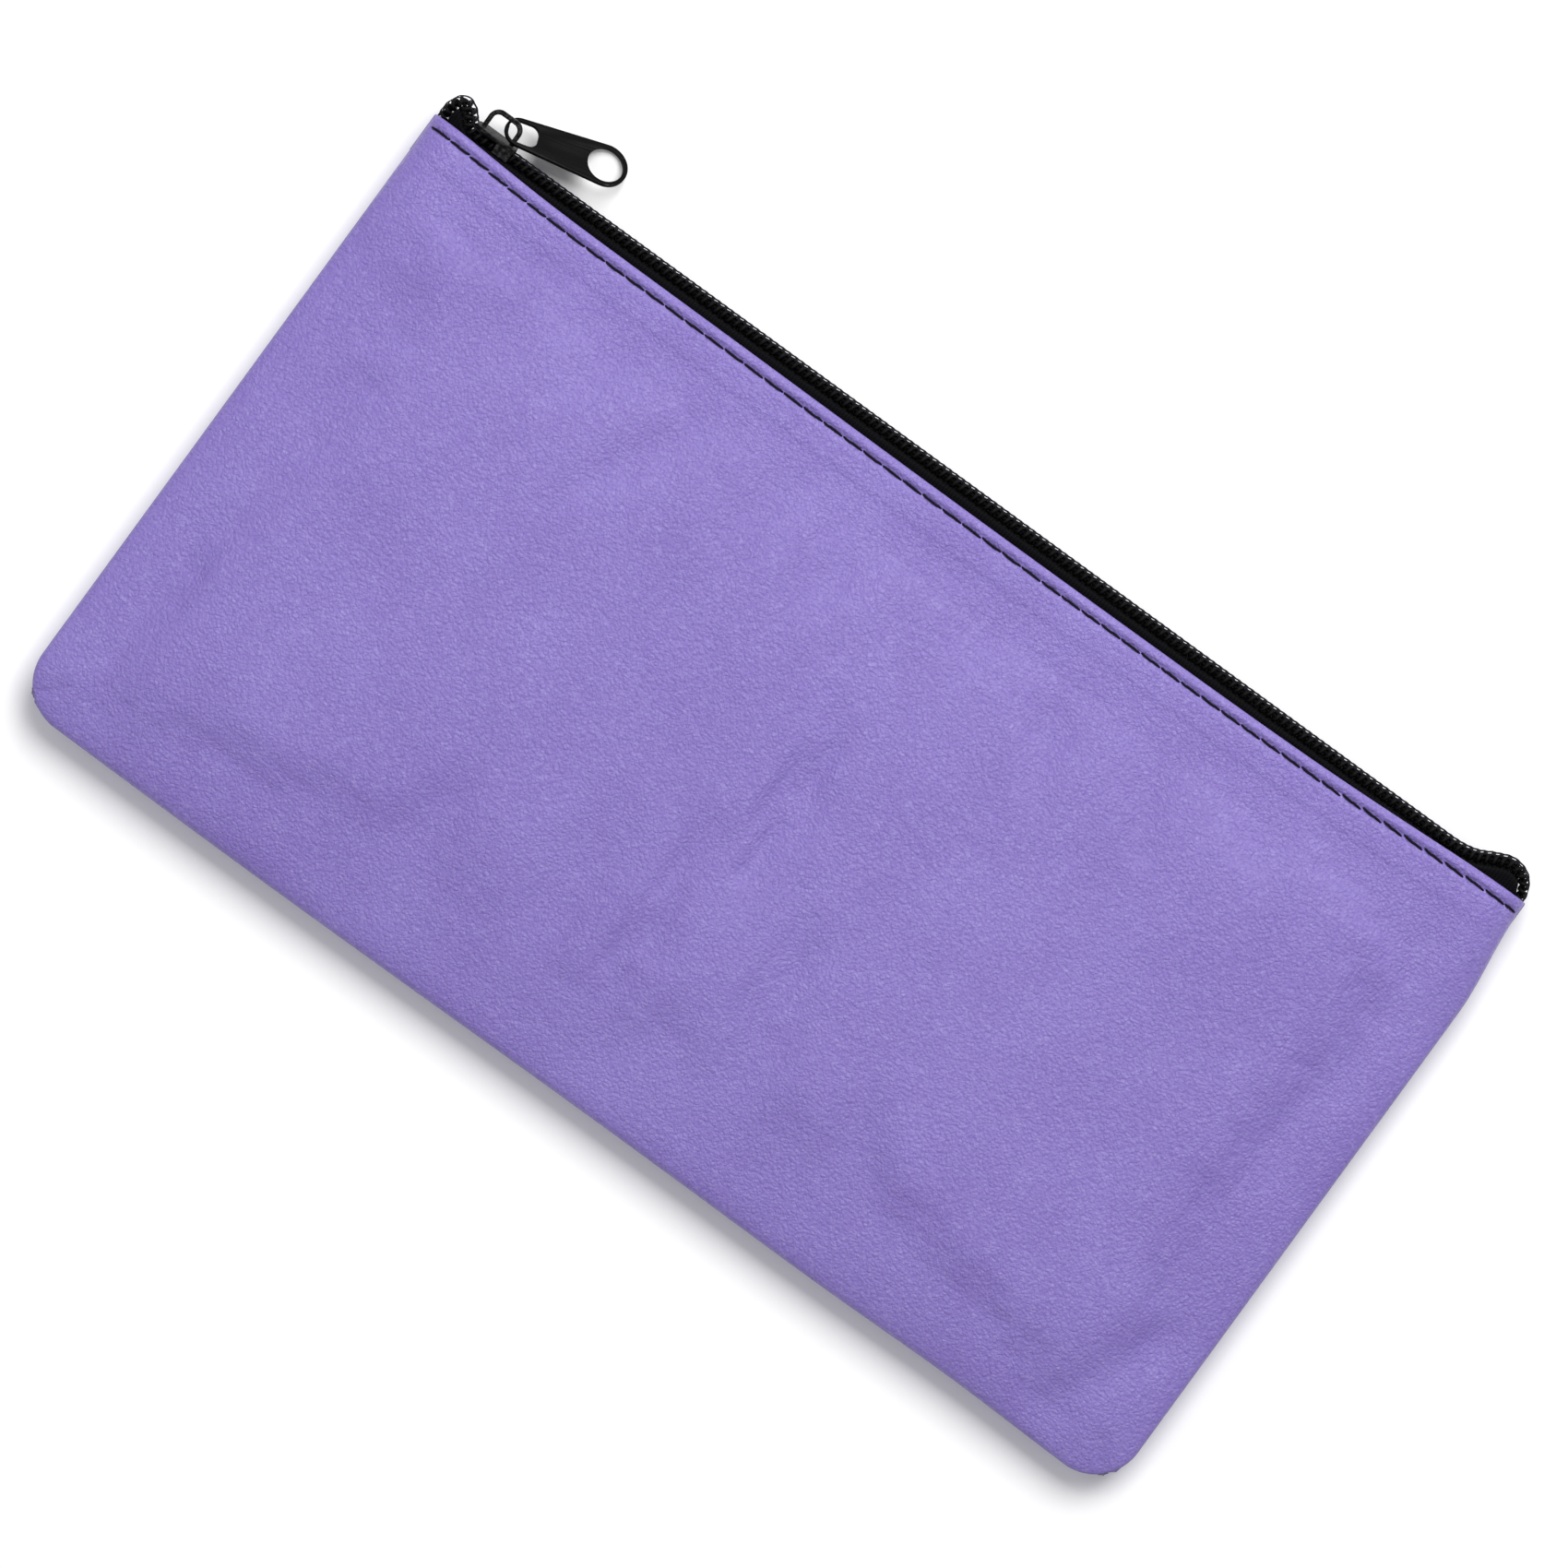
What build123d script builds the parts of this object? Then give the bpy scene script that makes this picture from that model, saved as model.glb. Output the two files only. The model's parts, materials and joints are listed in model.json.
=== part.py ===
from build123d import *
import math
import os

# A zipped leatherette deposit bag, closed and lying on its back panel. Millimetres, +Z up.
# The origin is on the resting face of the back panel, in the middle of the bag's outline. +X runs
# along the zip and +Y points from the bottom seam to the zip. The bag is two panels, sewn face to
# face round the sides and bottom and turned, so that the seam allowances are inside. Each panel's
# top edge is folded under and topstitched to one tape of a coil zip, whose ends are caught in the
# side seams. The chain, which is the two coils that the slider joins, faces +Y and is rolled a
# little towards +Z.

# Bag
bag_length = 279.4  # side seam to side seam
bag_height = 152.4  # bottom seam to the top of the zip chain
corner_radius = 11.0  # bottom corners of the turned bag
seam_level = 7.8  # height of the seams above the table
front_crown = 7.2  # how far the front panel rises above the seams
bottom_run = 14.0  # how far in from the bottom seam a panel is curved
side_run = 16.0  # the same at the side seams
slope_length = 48.0  # where the panels slope down towards the zip
seam_allowance = 7.0
seam_gap = 0.3  # between the front and back panels at the seams
open_margin = 5.0  # how far the space inside a panel is cut past its open top edge
edge_margin = 1.0  # how far a panel's layers are cut past the bottom seam

# Layers of the panels and their hems
skin = 0.6  # vinyl face
backing = 0.3  # knitted cloth behind it
hem_depth = 9.0  # how far the top edge is folded under
hem_play = 0.16  # from the slider's inner wing to the tapes in the hems
tape = 0.5
thread = 0.35
stitch_inset = 2.7  # from the folded edge to the topstitching
stitch_width = 0.5
stitch_clear = 0.1  # between the seam stitching and the tape's ends
seam_stitch_inset = 2.5  # from the outside of the bag to the seam stitching

# Zip chain, in its own plane: along the zip, across it, and its height
chain_roll = 12.0  # degrees towards +Z
chain_end = 6.8  # from each side seam to the end of the chain
chain_rise = 1.76  # from the folded top edges to the tapes under the chain
coil_height = 2.3
coil_reach = 2.9  # from the chain's centre line to the outside of a coil
coil_web = 0.6
head_overlap = 0.6  # how far a tooth reaches past the centre line
tooth_pitch = 1.63
tooth_width = 0.68
wire = 0.75
cord_width = 1.1
cord_play = 0.05  # above and below the cord inside its coil
binding_width = 0.35
binding_height = 0.08
tape_edge = 0.4  # from the centre line to the woven edge of a tape
tape_margin = 1.5  # from the outside of a coil to where its tape turns down
tape_drop = 1.4  # from under the coils to where a tape turns in to its hem
fold_clear = 0.8  # but no nearer than this to the folded edge
bend_clear = 0.1  # from the folded edge to where the tape is level with the hem
binding_rows = (0.9, 1.9)  # from the centre line
split_start = 3.2  # the coils are fully parted this far left of the middle of the slider
split_end = 1.6  # and closed this far right of it

# Slider
slider_length = 9.6
slider_flare = 0.1  # how much further its nose reaches each side than its rear
slider_start = 12.9  # from the left side seam to the middle of the slider when the bag is closed
slider_corner = 1.2
wing = 0.8
wing_play = 0.15  # from the wings to the coils and tapes
guide_length = 3.7
guide_width = 0.75
guide_play = 0.15  # from a side guide to the coil
guide_lift = 0.3  # from a tape to the guide above it
divider_width = 2.2
divider_length = 3.6
bridge_opening_length = 5.9
bridge_opening_height = 3.95
bridge_bar = 1.0
bridge_thickness = 0.9
bridge_corner = 1.4  # inside its opening

# Pull tab
hinge_height = 2.4  # of the tab's hinge axis above the outer wing
hinge_offset = 0.6  # of the hinge axis from the middle of the slider
tab_reach = 22.1  # from the hinge axis to the middle of the finger hole
tab_end_radius = 4.9
tab_root_radius = 3.4
tab_hole_radius = 3.95
tab_eye_width = 5.2
tab_eye_length = 6.6
tab_eye_corner = 1.9
tab_rim = 0.8  # metal between the eye and the near end
tab_thickness = 0.8
tab_heading = 16.0  # degrees from the zip, outwards
tab_pitch = 14.0  # degrees down towards the table
tab_tilt = 33.0  # degrees between its face and the table

half_length = bag_length / 2
bottom_y = -bag_height / 2
panel = skin + backing
hem = 2 * panel
above_allowance = seam_gap / 2 + panel + thread + stitch_clear
roll = math.radians(chain_roll)
coil_half = coil_height / 2
outer_face = coil_half + wing_play  # of the chain's space inside the slider
inner_face = -coil_half - tape - wing_play
guide_inner = coil_reach + guide_play
narrow = guide_inner + guide_width  # half the width of the slider's rear
broad = narrow + slider_flare
tape_clear = broad * math.cos(roll) + inner_face * math.sin(roll) + hem_play
hem_rise = tape_clear + tape + hem
chain_y = bag_height / 2 - coil_half * math.cos(roll) - coil_reach * math.sin(roll)
chain_span = bag_length - 2 * chain_end
top_y = chain_y - (coil_half + tape) * math.cos(roll) - chain_rise
tape_bend = coil_reach + tape_margin
chain_plane = Plane(
    origin=(0, chain_y, seam_level),
    x_dir=(1, 0, 0),
    z_dir=(0, math.cos(roll), math.sin(roll)),
)
slider_x = slider_start - half_length
bridge_plane = Plane(
    origin=chain_plane.from_local_coords((slider_x, 0, outer_face + wing)),
    x_dir=(1, 0, 0),
    z_dir=chain_plane.y_dir * -1,
)
FRONT, BACK = 1, -1


def turned(direction, other, angle):
    """The unit vector at an angle from a direction, towards another square to it."""
    return direction * math.cos(angle) + other * math.sin(angle)


# The tab's own plane has its origin on the hinge axis, and its X runs along the tab.
tab_level = turned(Vector(1, 0, 0), Vector(0, 1, 0), math.radians(tab_heading))
tab_side = turned(Vector(0, 1, 0), Vector(-1, 0, 0), math.radians(tab_heading))
tab_along = turned(tab_level, Vector(0, 0, -1), math.radians(tab_pitch))
tab_lean = math.acos(math.cos(math.radians(tab_tilt)) / math.cos(math.radians(tab_pitch)))
tab_plane = Plane(
    origin=bridge_plane.from_local_coords((hinge_offset, hinge_height, 0)),
    x_dir=tab_along,
    z_dir=turned(tab_along.cross(tab_side), tab_side, tab_lean),
)


def side_depth(side):
    """How far a panel stands from the level of the seams."""
    return front_crown if side == FRONT else seam_level


def plan_prism(inset, open_top=False):
    """The bag's outline seen from above, drawn inset from its edge and extruded through it."""
    top = top_y + (open_margin if open_top else 0)
    low = bottom_y + inset
    with BuildPart() as prism:
        with BuildSketch():
            with Locations((0, (low + top) / 2)):
                Rectangle(bag_length - 2 * inset, top - low)
            fillet(vertices().group_by(Axis.Y)[0], corner_radius - inset)
        extrude(amount=4 * seam_level, both=True)
    return prism.part


def envelope(side, inset, open_top=False):
    """The space inside one panel, from the seams' level outwards, its walls moved in by inset."""
    depth = side_depth(side) - inset
    start = 90 if side == FRONT else 180
    flat = seam_level + side * depth
    hem_level = seam_level + side * (hem_rise - inset)
    top = top_y + (open_margin if open_top else 0)
    slope_end = top_y - hem_depth
    with BuildPart() as space:
        with BuildSketch(Plane.YZ):
            with BuildLine():
                middle = (bottom_y + bottom_run, seam_level)
                EllipticalCenterArc(middle, bottom_run - inset, depth, start, arc_size=90)
                Polyline(
                    (middle[0], flat),
                    (slope_end - slope_length, flat),
                    (slope_end, hem_level),
                    (top, hem_level),
                    (top, seam_level),
                    (bottom_y + inset, seam_level),
                )
            make_face()
        extrude(amount=bag_length, both=True)
        with BuildSketch(Plane.XZ):
            with BuildLine():
                middle = (side_run - half_length, seam_level)
                arc = EllipticalCenterArc(middle, side_run - inset, depth, start, arc_size=90)
                mirror(arc, about=Plane.YZ)
                Line((middle[0], flat), (-middle[0], flat))
                Line((inset - half_length, seam_level), (half_length - inset, seam_level))
            make_face()
        extrude(amount=bag_height, both=True, mode=Mode.INTERSECT)
        add(plan_prism(inset, open_top), mode=Mode.INTERSECT)
    return space.part


def slab(side, y_low, y_high, z_low, z_high):
    """A box across the whole bag between two heights measured outwards from the seams' level."""
    z_middle = seam_level + side * (z_low + z_high) / 2
    with BuildPart() as box:
        with Locations((0, (y_low + y_high) / 2, z_middle)):
            Box(2 * bag_length, y_high - y_low, z_high - z_low)
    return box.part


def layer(side, outer, inner, y_low=bottom_y - edge_margin, y_high=top_y, z_low=seam_gap / 2):
    """The shell between two insets of a panel, over a stretch of the bag's height."""
    with BuildPart() as shell:
        add(envelope(side, outer))
        add(envelope(side, inner, open_top=True), mode=Mode.SUBTRACT)
        add(slab(side, y_low, y_high, z_low, 2 * seam_level), mode=Mode.INTERSECT)
    return shell.part


def allowance(side, low, high, inset, width):
    """A strip that runs inside the side and bottom seams, between two heights above the gap."""
    with BuildPart() as strip:
        add(envelope(side, 0))
        add(plan_prism(inset), mode=Mode.INTERSECT)
        add(plan_prism(inset + width, True), mode=Mode.SUBTRACT)
        start = seam_gap / 2
        add(slab(side, bottom_y, top_y, start + low, start + high), mode=Mode.INTERSECT)
    return strip.part


def save(piece, name):
    piece.part.label = name
    export_step(piece.part, f"parts/{name}.step")


def make_panel(word, side):
    """The vinyl face: the panel, the folded layer of its hem and its seam allowance."""
    shells = [
        layer(side, 0, skin),
        layer(side, hem - skin, hem, top_y - hem_depth, top_y),
        layer(side, 0, hem, top_y - skin, top_y),
        allowance(side, 0, skin, 0, seam_allowance),
    ]
    with BuildPart() as panel_face:
        add(shells)
    save(panel_face, f"{word}_panel")
    return panel_face.part


def make_backing(word, side, face):
    """The knitted cloth on the inside of the vinyl, doubled inside the hem."""
    shells = [
        layer(side, skin, panel, bottom_y - edge_margin, top_y - skin),
        layer(side, skin, hem - skin, top_y - hem_depth, top_y - skin),
        allowance(side, skin, panel, skin, seam_allowance - skin),
    ]
    with BuildPart() as cloth:
        add(shells)
        add(face, mode=Mode.SUBTRACT)
    save(cloth, f"{word}_backing")


def make_topstitch(word, side):
    """The two threads of the lockstitch along the hem, one on the vinyl and one on the tape."""
    middle = top_y - stitch_inset
    span = (middle - stitch_width / 2, middle + stitch_width / 2)
    needle = layer(side, -thread, 0, *span)
    bobbin = layer(side, hem + tape, hem + tape + thread, *span, above_allowance)
    for name, line in (("topstitch", needle), ("topstitch_bobbin", bobbin)):
        with BuildPart() as stitching:
            add(line)
            with Locations((0, middle, seam_level)):
                Box(bag_length - 4 * panel, bag_height, 4 * seam_level, mode=Mode.INTERSECT)
        save(stitching, f"{word}_{name}")


def make_seam_stitch(word, side):
    """One thread of the lockstitch round the sides and bottom, on the cloth of the allowance."""
    line = allowance(side, panel, panel + thread, seam_stitch_inset, stitch_width)
    with BuildPart() as stitching:
        add(line)
    save(stitching, f"{word}_seam_stitch")


def split_shift(x):
    """How far a coil stands out from the closed chain: it passes round the slider's divider."""
    closed = slider_x + split_end
    full = divider_width / 2 + head_overlap + wing_play
    return full * min(max((closed - x) / (split_start + split_end), 0), 1)


def chain_strip(side, inner, outer, low, high, follow_outer=True):
    """A strip of the zip between two distances from the centre line and two heights.
    Across the zip, the chain plane's own Y points to the back, so the front is negative."""
    start = -chain_span / 2
    stops = [start, slider_x - split_start, slider_x + split_end, -start]
    inner_line = [(x, -side * (inner + split_shift(x))) for x in stops]
    outer_line = [(x, -side * (outer + follow_outer * split_shift(x))) for x in stops]
    with BuildPart() as strip:
        with BuildSketch(chain_plane.offset(low)):
            with BuildLine():
                Polyline(*inner_line, *reversed(outer_line), close=True)
            make_face()
        extrude(amount=high - low)
    return strip.part


def make_coil(word, side):
    """One coil: its turns are the teeth, joined along the outside, with the space for its cord."""
    start = -chain_span / 2
    count = int(chain_span / tooth_pitch) - 1
    first = start + tooth_pitch * (0.75 if side == FRONT else 1.25)
    centres = [first + i * tooth_pitch for i in range(count)]
    web = coil_reach - coil_web
    points = []
    for x in centres:
        shift = split_shift(x)
        for edge, across in ((-1, web), (-1, -head_overlap), (1, -head_overlap), (1, web)):
            points.append((x + edge * tooth_width / 2, -side * (across + shift)))
    stops = [centres[-1] + wire, slider_x + split_end, slider_x - split_start, centres[0] - wire]
    points += [(x, -side * (coil_reach + split_shift(x))) for x in stops]
    window = coil_half - wire
    core = chain_strip(side, tooth_width / 4, web, -window, window)
    with BuildPart() as turns:
        with BuildSketch(chain_plane.offset(-coil_half)):
            with BuildLine():
                Polyline(*points, close=True)
            make_face()
        extrude(amount=coil_height)
        add(core, mode=Mode.SUBTRACT)
    save(turns, f"{word}_coil")


def make_coil_cord(word, side):
    """The cord that the coil is wound round."""
    middle = (coil_reach - coil_web + tooth_width / 4) / 2
    reach = coil_half - wire - cord_play
    strip = chain_strip(side, middle - cord_width / 2, middle + cord_width / 2, -reach, reach)
    with BuildPart() as core:
        add(strip)
    save(core, f"{word}_coil_cord")


def make_coil_binding(word, side):
    """The two rows of thread that hold the coil on its tape, on top of the coil."""
    rows = []
    for middle in binding_rows:
        near, far = middle - binding_width / 2, middle + binding_width / 2
        rows.append(chain_strip(side, near, far, coil_half, coil_half + binding_height))
    with BuildPart() as threads:
        add(rows)
    save(threads, f"{word}_coil_binding")


def chain_point(across, height):
    """(y, z) of a point of the zip's section, across the chain towards the front and above it."""
    return (
        chain_y + height * math.cos(roll) - across * math.sin(roll),
        seam_level + height * math.sin(roll) + across * math.cos(roll),
    )


def make_tape(word, side):
    """One woven tape: sewn into the hem, up past the slider, and in under its coil."""
    under = -coil_half - tape
    level = seam_level + side * (tape_clear + tape / 2)
    across = side * tape_bend
    above_fold = (top_y + fold_clear - chain_y + across * math.sin(roll)) / math.cos(roll)
    section = [
        chain_point(across, under + tape / 2),
        chain_point(across, max(under - tape_drop, above_fold)),
        (top_y + bend_clear, level),
        (top_y - tape, level),
    ]
    upper = chain_strip(side, tape_edge, tape_bend, under, under + tape, follow_outer=False)
    sewn = layer(side, hem, hem + tape, top_y - hem_depth, top_y, above_allowance)
    with BuildPart() as woven:
        with BuildSketch(Plane.YZ.offset(-chain_span / 2)):
            with BuildLine() as line:
                Polyline(*section)
            trace(line.line, line_width=tape)
        extrude(amount=chain_span)
        add([upper, sewn])
    save(woven, f"{word}_tape")


def make_slider():
    """The slider: two wings, the divider between them, a guide each side and the bridge."""
    half = slider_length / 2
    guide_slot = wing_play + tape + guide_lift
    right = [(-half, broad / 2), (slider_corner - half, broad), (half, narrow)]
    left = [(x, -y) for x, y in reversed(right)]
    nose = slider_x - half + slider_corner / 2
    shoulder = nose + divider_length / 4
    with BuildPart() as slider_body:
        with BuildSketch(chain_plane.offset(outer_face), chain_plane.offset(inner_face - wing)):
            with Locations((slider_x, 0)):
                Polygon(*right, *left, align=None)
            fillet(vertices(), slider_corner / 2)
        extrude(amount=wing)
        with BuildSketch(chain_plane.offset(inner_face)):
            with BuildLine():
                Polyline(
                    (nose, 0),
                    (shoulder, divider_width / 2),
                    (nose + divider_length, 0),
                    (shoulder, -divider_width / 2),
                    close=True,
                )
            make_face()
        extrude(amount=outer_face - inner_face)
        with BuildSketch(chain_plane.offset(inner_face + guide_slot)):
            across = guide_inner + guide_width / 2
            along = slider_x + half - guide_length / 2
            with Locations((along, across), (along, -across)):
                Rectangle(guide_length, guide_width)
        extrude(amount=outer_face - inner_face - guide_slot)
        with BuildSketch(bridge_plane):
            with Locations((0, (bridge_opening_height + bridge_bar) / 2)):
                Rectangle(
                    bridge_opening_length + 2 * bridge_bar, bridge_opening_height + bridge_bar
                )
            fillet(vertices().group_by(Axis.Y)[-1], bridge_corner + bridge_bar)
            with BuildSketch(mode=Mode.SUBTRACT):
                with Locations((0, bridge_opening_height / 2)):
                    Rectangle(bridge_opening_length, bridge_opening_height)
                fillet(vertices().group_by(Axis.Y)[-1], bridge_corner)
        extrude(amount=bridge_thickness / 2, both=True)
    save(slider_body, "slider_body")


def make_pull_tab():
    """The flat tab: an eye round the slider's bridge and a round finger hole."""
    with BuildPart() as pull_tab:
        with BuildSketch(tab_plane.offset(-tab_thickness / 2)):
            with Locations((tab_root_radius - tab_rim / 2, 0)):
                Circle(tab_root_radius)
            with Locations((tab_reach, 0)):
                Circle(tab_end_radius)
            make_hull()
            with Locations((tab_reach, 0)):
                Circle(tab_hole_radius, mode=Mode.SUBTRACT)
            with Locations(((tab_rim + tab_eye_length) / 2, 0)):
                RectangleRounded(
                    tab_eye_length, tab_eye_width, tab_eye_corner, mode=Mode.SUBTRACT
                )
        extrude(amount=tab_thickness)
    save(pull_tab, "pull_tab")


os.makedirs("parts", exist_ok=True)
for word, side in (("front", FRONT), ("back", BACK)):
    face = make_panel(word, side)
    make_backing(word, side, face)
    make_topstitch(word, side)
    make_seam_stitch(word, side)
    make_tape(word, side)
    make_coil(word, side)
    make_coil_cord(word, side)
    make_coil_binding(word, side)
make_slider()
make_pull_tab()
print("tab hinge", bridge_plane.from_local_coords((hinge_offset, hinge_height, 0)))
print("tab hinge and slider axes", bridge_plane.z_dir, bridge_plane.x_dir)
print("finger hole", tab_plane.from_local_coords((tab_reach, 0, 0)), "axis", tab_plane.z_dir)
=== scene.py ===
"""The looks of a zipped leatherette deposit bag: soft panels, woven tapes, helical coils, stitches.

Metres, in the frame of the CAD part: +X along the zip, +Y towards it, +Z up. FRONT is the upper
half of the bag and BACK the half that lies on the table.
"""

import json
import math
import random

import bmesh
import bpy
import numpy as np
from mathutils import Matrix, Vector, noise
from mathutils.bvhtree import BVHTree


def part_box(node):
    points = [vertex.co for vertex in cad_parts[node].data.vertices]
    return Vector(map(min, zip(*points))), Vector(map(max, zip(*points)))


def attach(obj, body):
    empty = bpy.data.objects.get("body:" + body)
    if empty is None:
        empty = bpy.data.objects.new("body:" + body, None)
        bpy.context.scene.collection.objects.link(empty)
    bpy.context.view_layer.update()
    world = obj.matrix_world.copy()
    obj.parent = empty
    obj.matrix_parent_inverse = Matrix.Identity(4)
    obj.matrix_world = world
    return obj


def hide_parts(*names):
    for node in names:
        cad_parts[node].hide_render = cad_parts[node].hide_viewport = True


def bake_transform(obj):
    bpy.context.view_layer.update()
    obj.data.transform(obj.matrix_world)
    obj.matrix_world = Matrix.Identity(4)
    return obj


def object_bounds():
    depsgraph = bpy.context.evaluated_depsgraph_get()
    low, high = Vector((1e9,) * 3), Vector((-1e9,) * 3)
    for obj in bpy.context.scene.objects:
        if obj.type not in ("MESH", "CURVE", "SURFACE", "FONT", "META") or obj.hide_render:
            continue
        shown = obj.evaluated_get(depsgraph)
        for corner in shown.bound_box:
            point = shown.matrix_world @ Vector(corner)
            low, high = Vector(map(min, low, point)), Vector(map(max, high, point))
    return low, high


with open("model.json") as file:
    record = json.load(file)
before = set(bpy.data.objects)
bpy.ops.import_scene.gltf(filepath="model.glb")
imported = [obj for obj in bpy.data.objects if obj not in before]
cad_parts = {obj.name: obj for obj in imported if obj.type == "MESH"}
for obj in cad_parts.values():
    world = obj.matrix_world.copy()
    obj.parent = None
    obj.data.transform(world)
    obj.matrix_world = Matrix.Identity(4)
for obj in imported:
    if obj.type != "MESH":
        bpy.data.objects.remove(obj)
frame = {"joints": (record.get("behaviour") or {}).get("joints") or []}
cad_low, cad_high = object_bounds()

MM = 0.001
FRONT, BACK = 1, -1
SIDES = (("front", FRONT), ("back", BACK))

# What the frame says about the bag
front_low, front_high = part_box("front_panel")
back_low, back_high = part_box("back_panel")
seam_level = (front_low.z + back_high.z) / 2
half_length = front_high.x
bottom_y = front_low.y
top_y = front_high.y
depth = {FRONT: front_high.z - seam_level, BACK: seam_level - back_low.z}
joints = {joint["name"]: joint for joint in frame["joints"]}

# Panels
CORNER = 11 * MM
SOFT_LIMIT = 0.3 * MM  # where the relief starts to flatten under the bag's full thickness
SEAM_ROLL = 0.9 * MM  # the turned edge at a seam
ALLOWANCE = 6 * MM
EDGE_GAP = 0.15 * MM  # from the seams' level to a panel's seam allowance
HEM_DEPTH = 9 * MM
HEM_RISE = 5.9 * MM  # of the hem's outer face above the seams
HEM_ROLL = 0.9 * MM
SKIN = 0.6 * MM
LINING = 0.3 * MM
SIDE_RUN = 15 * MM  # how far in from a seam a panel is curved
ZIP_END_RUN = 8 * MM  # the same next to the zip, whose ends prop the panels up
CROWN = 0.28  # the part of a panel's height that comes only well inside its seams
RELIEF_ROOM = 1.0 * MM  # kept for the relief, so that the bag keeps its thickness
BOTTOM_RUN = 14 * MM
PLATEAU_END = top_y - 58 * MM
STITCH_INSET = 2.7 * MM
STITCH_PITCH = 5.05 * MM
THREAD_RADIUS = 0.27 * MM
FINE_STEP = 0.55 * MM  # of a panel's grid near its edges
COARSE_STEP = 1.35 * MM
HEM_BAND = 6 * MM  # below the folded edge, where the grid is finest

# Outline
RISE_LEFT = 1.5 * MM  # of the top edge at its ends
RISE_LEFT_RUN = 22 * MM
RISE_RIGHT = 2.3 * MM
RISE_RIGHT_RUN = 40 * MM
EDGE_SAG = 0.3 * MM  # of the top edge in its middle
EDGE_SAG_RUN = 60 * MM
SIDE_PULL = 2.2 * MM  # of the right side seam, next to the zip
SIDE_PULL_DROP = 24 * MM
SIDE_PULL_RUN = 30 * MM

# Stitches
NEEDLE_SAG = 0.55 * MM  # how deep a stitch's ends go into the surface
BOBBIN_SAG = 0.3 * MM
SEAM_SAG = 0.2 * MM
STITCH_GAP = 0.04 * MM  # between a stitch and the middle of its needle hole
STITCH_SLANT = 0.1 * MM
STITCH_STRAY = 0.07  # mm, the random part of a stitch's distance from the edge
SEAM_STITCH_INSET = 2.5 * MM
SEAM_STITCH_PITCH = 3.2 * MM
SEAM_STITCH_GAP = 0.08  # the part of its pitch that a seam stitch leaves free at each end

# Zip
COIL_PITCH = 1.64 * MM
COIL_REACH = 2.9 * MM  # from the chain's centre line to the outside of a coil
COIL_HEIGHT = 2.3 * MM
WIRE = 0.37 * MM  # radius
TOOTH_OVERLAP = 0.6 * MM
TAPE = 0.5 * MM
TAPE_TURN = {FRONT: 4.25 * MM, BACK: 4.4 * MM}  # where a tape turns down, from the chain's centre line
TAPE_DROP = {FRONT: 0.1 * MM, BACK: 1.4 * MM}  # of that turn below the tape under the coil
TAPE_GAP = 0.04 * MM  # to the inside of the hem
CORD_RADIUS = 0.36 * MM
BINDING_ROWS = (0.95 * MM, 1.9 * MM)  # from the chain's centre line
BINDING_RADIUS = 0.11 * MM
BINDING_DEPTH = 0.06 * MM  # of the binding's axis below the top of the coil
BINDING_RIPPLE = 0.05 * MM
PARTED = 1.85 * MM  # how far the slider's divider pushes each coil out
PARTED_ENDS = 0.3  # the share of it at the left end of the zip
PARTING_START = 1.6 * MM  # from the slider's middle, where the coils begin to part
PARTING_RUN = 4.8 * MM
CHAIN_LEFT = 138 * MM  # the chain's left end, from the bag's middle

across_axis = Vector(joints["pull_tab_flip"]["axis"]).normalized()
out_axis = Vector((0, across_axis.z, -across_axis.y))
coil_boxes = [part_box("front_coil"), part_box("back_coil")]
coil_middle = sum((low + high for low, high in coil_boxes), Vector()) / 4
chain_centre = Vector((0, coil_middle.y, coil_middle.z))
slider_low, slider_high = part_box("slider_body")
slider_x = (slider_low.x + slider_high.x) / 2


def smooth(t):
    """0 before 0 and 1 after 1, with a smooth step between."""
    t = min(max(t, 0.0), 1.0)
    return t * t * (3 - 2 * t)


def bump(t):
    """A smooth bell of height 1 and width about 1."""
    return math.exp(-t * t)


def wander(x, y, scale, seed):
    """Smooth random relief between about -1 and 1."""
    return noise.noise(Vector((x / scale, y / scale, seed * 7.31)))


def new_object(name, vertices, faces, material, smooth_faces=True):
    mesh = bpy.data.meshes.new(name)
    mesh.from_pydata([tuple(v) for v in vertices], [], faces)
    mesh.validate()
    if smooth_faces:
        mesh.polygons.foreach_set("use_smooth", [True] * len(mesh.polygons))
    mesh.materials.append(material)
    piece = bpy.data.objects.new(name, mesh)
    bpy.context.scene.collection.objects.link(piece)
    return piece


def grid_faces(rows, columns, first=0, closed=False, flip=False):
    """The quads of a grid of points laid out row by row; closed joins the last column to the first."""
    faces = []
    for j in range(rows - 1):
        for i in range(columns if closed else columns - 1):
            a = first + j * columns + i
            b = first + j * columns + (i + 1) % columns
            quad = (a, b, b + columns, a + columns)
            faces.append(quad[::-1] if flip else quad)
    return faces


def apply_modifiers(piece):
    graph = bpy.context.evaluated_depsgraph_get()
    mesh = bpy.data.meshes.new_from_object(piece.evaluated_get(graph))
    piece.modifiers.clear()
    piece.data = mesh


def solidify(piece, thickness, offset=-1.0):
    shell = piece.modifiers.new("thickness", "SOLIDIFY")
    shell.thickness = thickness
    shell.offset = offset
    shell.use_even_offset = False
    apply_modifiers(piece)


# ---------------------------------------------------------------- materials


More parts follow.
